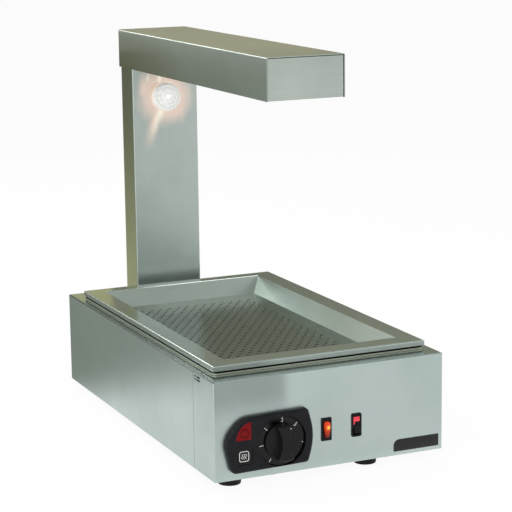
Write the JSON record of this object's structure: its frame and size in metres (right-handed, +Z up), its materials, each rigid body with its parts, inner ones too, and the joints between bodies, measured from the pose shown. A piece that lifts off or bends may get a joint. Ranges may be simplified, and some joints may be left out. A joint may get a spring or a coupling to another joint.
{
  "type": "chip warmer",
  "caption": "Counter-top chip warmer with a heated perforated tray, a crumb pan below it and a column at the back carrying a lamp and an overhead heat arm.",
  "frame": {"origin": "middle of the footprint, knob, column and arm included, on the plane that the feet stand on", "axes": "+X right seen from the controls, +Y to the back, +Z up; the controls face -Y"},
  "size_m": [0.35, 0.678, 0.5719],
  "materials": {
    "stainless_sheet": "brushed stainless casing sheet",
    "zinc_sheet": "zinc-plated inner sheet",
    "zinc_screws": "zinc-plated screws",
    "tray_steel": "bright stainless tray sheet",
    "well_steel": "stainless well, dulled by heat",
    "mineral_wool": "pressed mineral wool",
    "element_sheath": "oxidised element sheath",
    "brass_fittings": "plain brass",
    "black_moulding": "satin black moulded plastic",
    "knob_plastic": "satin black moulded plastic",
    "dial_print": "satin black with white printed marks",
    "regulator_case": "pale moulded switch body",
    "terminal_plastic": "pale terminal plastic",
    "red_window": "deep red glossy plastic",
    "icon_tile": "black tile with a plain heat sign",
    "amber_lens": "amber lens, lit",
    "neon_glass": "small neon glass",
    "red_lens": "red switch lens, lit",
    "black_plate": "bare black plate",
    "bright_steel": "bright steel",
    "black_rubber": "black rubber",
    "ceramic_block": "unglazed ceramic",
    "lamp_bulb": "lit capsule lamp",
    "lamp_glass": "pressed frosted glass",
    "polished_reflector": "polished reflector",
    "heat_tube": "quartz tube",
    "lead_sleeve": "heat-proof sleeving"
  },
  "bodies": {
    "cabinet": {"arm_end_cap": "stainless_sheet", "arm_shell": "stainless_sheet", "badge_plate": "black_plate", "base_element": "element_sheath", "base_plate": "zinc_sheet", "bezel_screws": "zinc_screws", "block_screws": "zinc_screws", "cabinet_leads": "lead_sleeve", "cabinet_shell": "stainless_sheet", "cable_gland": "black_moulding", "case_screws": "zinc_screws", "column_bolts": "zinc_screws", "column_cover": "stainless_sheet", "column_leads": "lead_sleeve", "column_nuts": "zinc_screws", "column_shell": "stainless_sheet", "control_bezel": "black_moulding", "element_bushes": "brass_fittings", "element_saddles": "zinc_sheet", "foot_front_left": "black_rubber", "foot_front_right": "black_rubber", "foot_rear_left": "black_rubber", "foot_rear_right": "black_rubber", "foot_screws": "zinc_screws", "front_cover": "stainless_sheet", "front_tube_holder": "ceramic_block", "gland_nut": "black_moulding", "heat_reflector": "polished_reflector", "heat_regulator": "regulator_case", "heat_shield": "zinc_sheet", "heat_tube": "heat_tube", "icon_tile": "icon_tile", "insulation_slab": "mineral_wool", "lamp_bulb": "lamp_bulb", "lamp_glass": "lamp_glass", "lamp_housing": "bright_steel", "lamp_socket": "ceramic_block", "panel_nut": "brass_fittings", "pilot_frame": "black_moulding", "pilot_lens": "amber_lens", "pilot_neon": "neon_glass", "rear_panel": "stainless_sheet", "rear_tube_holder": "ceramic_block", "red_window": "red_window", "reflector_stays": "zinc_sheet", "rocker_frame": "black_moulding", "spade_tabs": "brass_fittings", "terminal_block": "terminal_plastic", "well_liner": "well_steel", "wire_grommet": "black_rubber", "wire_guard": "bright_steel"},
    "crumb_pan": {"crumb_pan": "tray_steel"},
    "chip_tray": {"chip_tray": "tray_steel", "tray_floor": "tray_steel"},
    "control_knob": {"control_knob": "knob_plastic", "dial_skirt": "dial_print", "knob_spindle": "bright_steel"},
    "rocker": {"rocker_paddle": "black_moulding", "rocker_lens": "red_lens"}
  },
  "joints": [
    {"name": "pan_lift", "type": "slide", "parent": "cabinet", "child": "crumb_pan", "axis": [0, 0, 1], "range_m": [0, 0.1]},
    {"name": "tray_lift", "type": "slide", "parent": "crumb_pan", "child": "chip_tray", "axis": [0, 0, 1], "range_m": [0, 0.12]},
    {"name": "heat_knob", "type": "hinge", "parent": "cabinet", "child": "control_knob", "pos_m": [-0.079, -0.315, 0.06], "axis": [0, 1, 0], "range_deg": [0, 270]},
    {"name": "power_rocker", "type": "hinge", "parent": "cabinet", "child": "rocker", "pos_m": [0.0382, -0.311, 0.0652], "axis": [1, 0, 0], "range_deg": [0, 22]}
  ]
}
